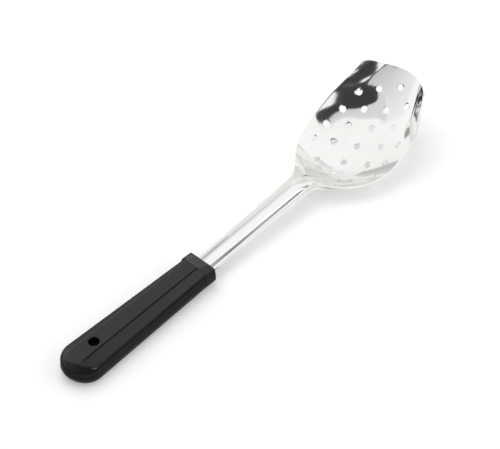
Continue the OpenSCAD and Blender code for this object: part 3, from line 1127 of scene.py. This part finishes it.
@dataclass
class Studio:
    """Pale floor, white surround, soft lamps, cards that paint reflections and highlights, and the camera.
    """

    floor_colour: Colour = (0.80, 0.80, 0.80, 1.0)
    floor_shade: Colour = (0.78, 0.78, 0.775, 1.0)
    floor_radius: float = 25.0
    floor_gap: float = 0.00005
    lift: float = 0.24
    surround: float = 0.66
    butt_middle: float = 0.016

    def seen(self, shader: Shader) -> Value:
        """Returns 1 for rays that come from the camera, a mirror or glass, and 0 for others."""
        path = shader.node("ShaderNodeLightPath", {})
        total = shader.value(path, "Is Camera Ray") + shader.value(path, "Is Glossy Ray")
        return (total + shader.value(path, "Is Transmission Ray")).steps(0.0, 1.0)

    def floor(self, height: float) -> None:
        """Lays the floor under the spoon at a height in metres."""
        Bench.deselect()
        bpy.ops.mesh.primitive_circle_add(
            vertices=96, radius=self.floor_radius, fill_type="NGON", location=(0, 0, height),
        )
        floor = bpy.context.object
        floor.name = "floor"
        paint = bpy.data.materials.new("pale_floor")
        shader = Shader(paint)
        cloud = shader.noise((1, 1, 1), 9, 2)
        colour = shader.blend(cloud * 0.2, self.floor_colour, self.floor_shade)
        matt = shader.node("ShaderNodeBsdfDiffuse", {}, Color=colour)
        strength = self.seen(shader) * self.lift
        white = shader.node("ShaderNodeEmission", {}, Color=(1, 1, 1, 1), Strength=strength)
        both = shader.node("ShaderNodeAddShader", {}, n0=matt.outputs[0], n1=white.outputs[0])
        shader.surface(both.outputs[0])
        floor.data.materials.append(paint)

    def world(self) -> None:
        """Makes the surround white to the eye and to metal, and a plain level of light."""
        world = bpy.data.worlds.new("studio")
        bpy.context.scene.world = world
        shader = Shader(world)
        strength = self.surround + (1 - self.surround) * self.seen(shader)
        back = shader.node("ShaderNodeBackground", {}, Color=(1, 1, 1, 1), Strength=strength)
        shader.surface(back.outputs[0])

    def lamp(self, name: str, azimuth: float, elevation: float, away: float, size: float,
             power: float) -> None:
        """Hangs a square soft lamp that faces the spoon and isn't mirrored in it.

        Args:
            name: Name of the lamp.
            azimuth: Direction from the spoon, in degrees from +X towards +Y.
            elevation: Height of that direction, in degrees.
            away: Distance in metres.
            size: Side of the lamp in metres.
            power: Power in watts.
        """
        a = math.radians(azimuth)
        e = math.radians(elevation)
        towards = Vector((math.cos(e) * math.cos(a), math.cos(e) * math.sin(a), math.sin(e)))
        light = bpy.data.lights.new(name, "AREA")
        light.shape = "SQUARE"
        light.size = size
        light.energy = power
        lamp = bpy.data.objects.new(name, light)
        bpy.context.scene.collection.objects.link(lamp)
        lamp.location = towards * away
        lamp.rotation_mode = "QUATERNION"
        lamp.rotation_quaternion = towards.to_track_quat("Z", "Y")
        lamp.visible_glossy = False

    def camera(self, butt: float) -> None:
        """Sets the camera at the place and turn of the picture.

        Args:
            butt: Place of the handle's butt along X, in metres.
        """
        focal, azimuth, elevation, roll = 3978.3825, 0.86296, 0.815796, 0.106034
        aside, down_by, away = -121.46195, 90.94564, 2605.0536
        datum = [0, 0, 18.8]
        level = -math.cos(elevation)
        view = np.array([level * math.cos(azimuth), level * math.sin(azimuth), math.sin(elevation)])
        right = np.cross(-view, [0, 0, 1])
        right /= np.linalg.norm(right)
        down = np.cross(-view, right)
        c, s = math.cos(roll), math.sin(roll)
        turn = np.array([c * right + s * down, -s * right + c * down, -view])
        place = -turn.T @ np.array([aside, down_by, away]) + datum
        data = bpy.data.cameras.new("camera")
        data.sensor_fit = "HORIZONTAL"
        data.sensor_width = 36.0
        data.lens = focal * data.sensor_width / PHOTO_WIDTH
        data.clip_end = 50
        camera = bpy.data.objects.new("camera", data)
        bpy.context.scene.collection.objects.link(camera)
        axes = Matrix(np.stack([turn[0], -turn[1], -turn[2]], axis=1).tolist())
        stand = Vector(place * MM) + Vector((butt, 0, 0))
        camera.matrix_world = Matrix.Translation(stand) @ axes.to_4x4()
        bpy.context.scene.camera = camera

    def build(self, butt: float) -> None:
        """Builds the whole studio round the spoon, whose butt is at a place along X in metres."""
        self.camera(butt)
        self.world()
        self.floor(CAD_BOX[0].z - self.floor_gap)
        self.lamp("overhead", 70, 68, 1.5, 1.3, 9.0)
        self.lamp("side", -60, 35, 1.6, 0.9, 3.0)
        # The cards are painted reflections and highlights, seen only in the steel and plastic.
        for card in (*self.far_cards(butt), *self.handle_cards(butt), *self.side_cards(butt)):
            card.build()

    def far_cards(self, butt: float) -> list[PaintedReflectionCard]:
        """Returns the far cards, painted reflections from dark to white that the bowl and the neck mirror.
        """
        tip = (butt + 0.300, 0.0, 0.038)
        heel = (butt + 0.215, 0.0, 0.020)
        curtain_painted_reflection = (
            (-12, 232, 237), (-7, 226.5, 238), (-4, 225, 238), (0, 222.5, 238), (4, 221, 236),
            (7, 218.5, 232), (10, 217, 231), (13, 216.5, 227), (16, 216.5, 223.5), (20, 216.5, 221),
            (24, 216.5, 220.5), (28, 215, 221.5), (32, 213, 222), (36, 210, 220.5), (39, 206, 219.5),
            (42, 202, 219), (45, 191, 218.5), (48, 181, 218), (51, 171, 218), (54, 160, 218),
            (57, 154, 217.5), (60, 154.5, 217), (63, 157, 217), (66, 160, 219), (68, 163, 224),
            (70.5, 168, 238), (72, 186, 250), (74, 198, 261), (76, 202, 262), (78, 205, 256),
            (80, 209, 238), (81.5, 213, 228),
        )
        low_wall_painted_reflection = (
            (10, 115, 130), (14, 117.5, 160), (20, 121, 162), (24, 124.5, 162), (28, 129, 160),
            (31, 135, 150),
        )
        side_card = ((-2, -78, -32), (24, -78, -32), (36, -66, -36))
        left_wall_painted_reflection = ((22, 108, 216), (36, 108, 216), (55, 107, 216))
        left_top_painted_reflection = (
            (50, 109, 216), (57, 114.5, 216), (65, 119, 216), (70, 126, 216), (73, 136, 214), (75, 146, 212),
            (78, 166, 210), (80.5, 176, 206),
        )
        right_wall_painted_reflection = ((-0.5, 0, 98), (46, 0, 98), (52, 4, 94))
        # Every row here, post included, is a painted reflection, from dark to white, seen only in
        # reflections.
        table = (
            ("curtain_painted_reflection", (0.04, 0.045), curtain_painted_reflection, tip, 20.0, 0.012),
            ("low_wall_painted_reflection", (0.03, 0.03), low_wall_painted_reflection, tip, 19.6, 0.01),
            ("post", (0.06, 0.06), ((-4, 98, 112), (3.5, 98, 112)), tip, 19.5, 0.05),
            ("rod_painted_reflection", (0.33, 0.33), ((-1, 95, 98.5), (14, 95, 98.5)), tip, 19.4, 0.2),
            ("side_card", (0.42, 0.42), side_card, heel, 20.0, 0.1),
            ("side_top", (0.72, 0.72), ((34, -68, -36), (47, -63, -40)), heel, 20.4, 0.1),
            ("side_bar", (0.1, 0.1), ((-2, -68, -52), (19, -67, -52)), heel, 19.0, 0.15),
            ("left_wall_painted_reflection", (0.92, 0.55), left_wall_painted_reflection, tip, 20.5, 0.03),
            ("left_top_painted_reflection", (0.74, 0.62), left_top_painted_reflection, tip, 20.2, 0.02),
            ("right_wall_painted_reflection", (0.70, 1.0), right_wall_painted_reflection, tip, 21.0, 0.1),
        )
        return [PaintedReflectionCard.sky(*row) for row in table]

    def handle_cards(self, butt: float) -> list[PaintedReflectionCard]:
        """Returns the cards round the butt and along both sides of the handle, which paint dark reflections
        into the plastic, the low ones as a darker floor.
        """
        middle = butt + self.butt_middle
        z = 0.0003
        near_end_painted_reflection = (((0.138, -0.020, z), (0.162, -0.020, z)), ((0.138, -0.040, z), (0.164, -0.040, z)))
        far_end_painted_reflection = (((0.138, 0.045, z), (0.175, 0.045, z)), ((0.138, 0.30, z), (0.27, 0.30, z)))
        # Painted dark reflections: the screen and hood round the butt, and dark sheets on the floor that
        # paint a darker floor into the handle's reflections.
        return [
            PaintedReflectionCard.band("butt_screen_painted_reflection", (0.04, 0.45), middle, 0.0, (-84, -215), (0.085, 0.002), (0.085, 0.110)),
            PaintedReflectionCard.band("butt_hood_painted_reflection", (0.10, 0.10), middle, 0.0, (-60, -130), (0.087, 0.060), (0.087, 0.150)),
            PaintedReflectionCard.band("near_floor_painted_reflection", (0.28, 0.28), middle, 0.122, (-90, -180), (0.009, z), (0.040, z)),
            PaintedReflectionCard.near("near_end_painted_reflection", (0.28, 0.28), butt, *near_end_painted_reflection, 0.0),
            PaintedReflectionCard.band("low_floor_painted_reflection", (0.10, 0.10), middle, 0.165, (-90, -180), (0.040, z), (0.30, z)),
            PaintedReflectionCard.band("far_floor_painted_reflection", (0.20, 0.20), middle, 0.122, (90, 180), (0.009, z), (0.30, z)),
            PaintedReflectionCard.near("far_end_painted_reflection", (0.20, 0.20), butt, *far_end_painted_reflection, 0.0),
        ]

    def side_cards(self, butt: float) -> list[PaintedReflectionCard]:
        """Returns the flat cards over the handle and beside the bowl, all painted reflections: strip,
        line_start, line_end, shade and beyond paint darker shapes, and glow, gleam and spark, at white or
        brighter, paint highlights.
        """
        # Painted reflections and painted highlights; spark paints the highlight on the butt's near side.
        table = (
            ("strip", (0.05, 0.05), ((0.022, -0.027, 0.059), (0.022, 0.014, 0.059)),
             ((0.145, -0.027, 0.059), (0.145, 0.014, 0.059)), 0.15),
            ("line_start", (0.12, 0.5), ((0.36, -0.50, 0.17), (0.41, -0.50, 0.17)),
             ((0.36, -0.50, 0.36), (0.41, -0.50, 0.36)), 0.0),
            ("line_end", (0.5, 0.25), ((0.41, -0.50, 0.17), (0.46, -0.50, 0.17)),
             ((0.41, -0.50, 0.36), (0.46, -0.50, 0.36)), 0.0),
            ("glow", (1.0, 1.1), ((0.43, -0.50, 1.05), (0.43, -0.50, 0.617)),
             ((0.56, -0.50, 1.05), (0.56, -0.50, 0.246)), 0.02),
            ("gleam", (1.2, 4.2), ((0.43, -0.495, 0.66), (0.43, -0.495, 0.617)),
             ((0.56, -0.495, 0.66), (0.56, -0.495, 0.246)), 0.02),
            ("shade", (0.5, 0.5), ((0.36, -0.505, 0.90), (0.36, -0.505, 0.45)),
             ((0.52, -0.505, 0.50), (0.52, -0.505, 0.45)), 0.02),
            ("beyond", (0.5, 0.75), ((0.33, 0.50, 0.0), (0.46, 0.50, 0.0)),
             ((0.33, 0.50, 0.33), (0.46, 0.50, 0.33)), 0.1),
            ("spark", (4.5, 4.5), ((0.0219, -0.0818, 0.0348), (0.0337, -0.0794, 0.0348)),
             ((0.0191, -0.0690, 0.0586), (0.0309, -0.0666, 0.0586)), 0.0),
        )
        return [PaintedReflectionCard.near(name, greys, butt, *rest) for name, greys, *rest in table]


def dress(piece: bpy.types.Object, node: str, finish: PolishedSteel | MouldedPlastic) -> None:
    """Gives a piece its finish and lets it stand for its CAD node.

    Args:
        piece: Finished piece.
        node: CAD node that it stands for.
        finish: Finish of the whole piece.
    """
    piece.data.materials.clear()
    piece.data.materials.append(finish.material())
    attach(piece, ROOT)
    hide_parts(node)
    piece.data.calc_loop_triangles()
    LOG.info("%s: %d triangles", piece.name, len(piece.data.loop_triangles))


def main() -> None:
    """Builds the spoon and its studio in order."""
    logging.basicConfig(level=logging.INFO, format="%(message)s")
    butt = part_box("handle")[0].x
    blade = Blade()
    dress(blade.build(butt), "spoon_blade", PolishedSteel())
    handle = Handle(blade)
    dress(handle.build(butt), "handle", MouldedPlastic())
    Studio().build(butt)
    bpy.context.scene.view_settings.view_transform = "Standard"


if __name__ == "__main__":
    main()
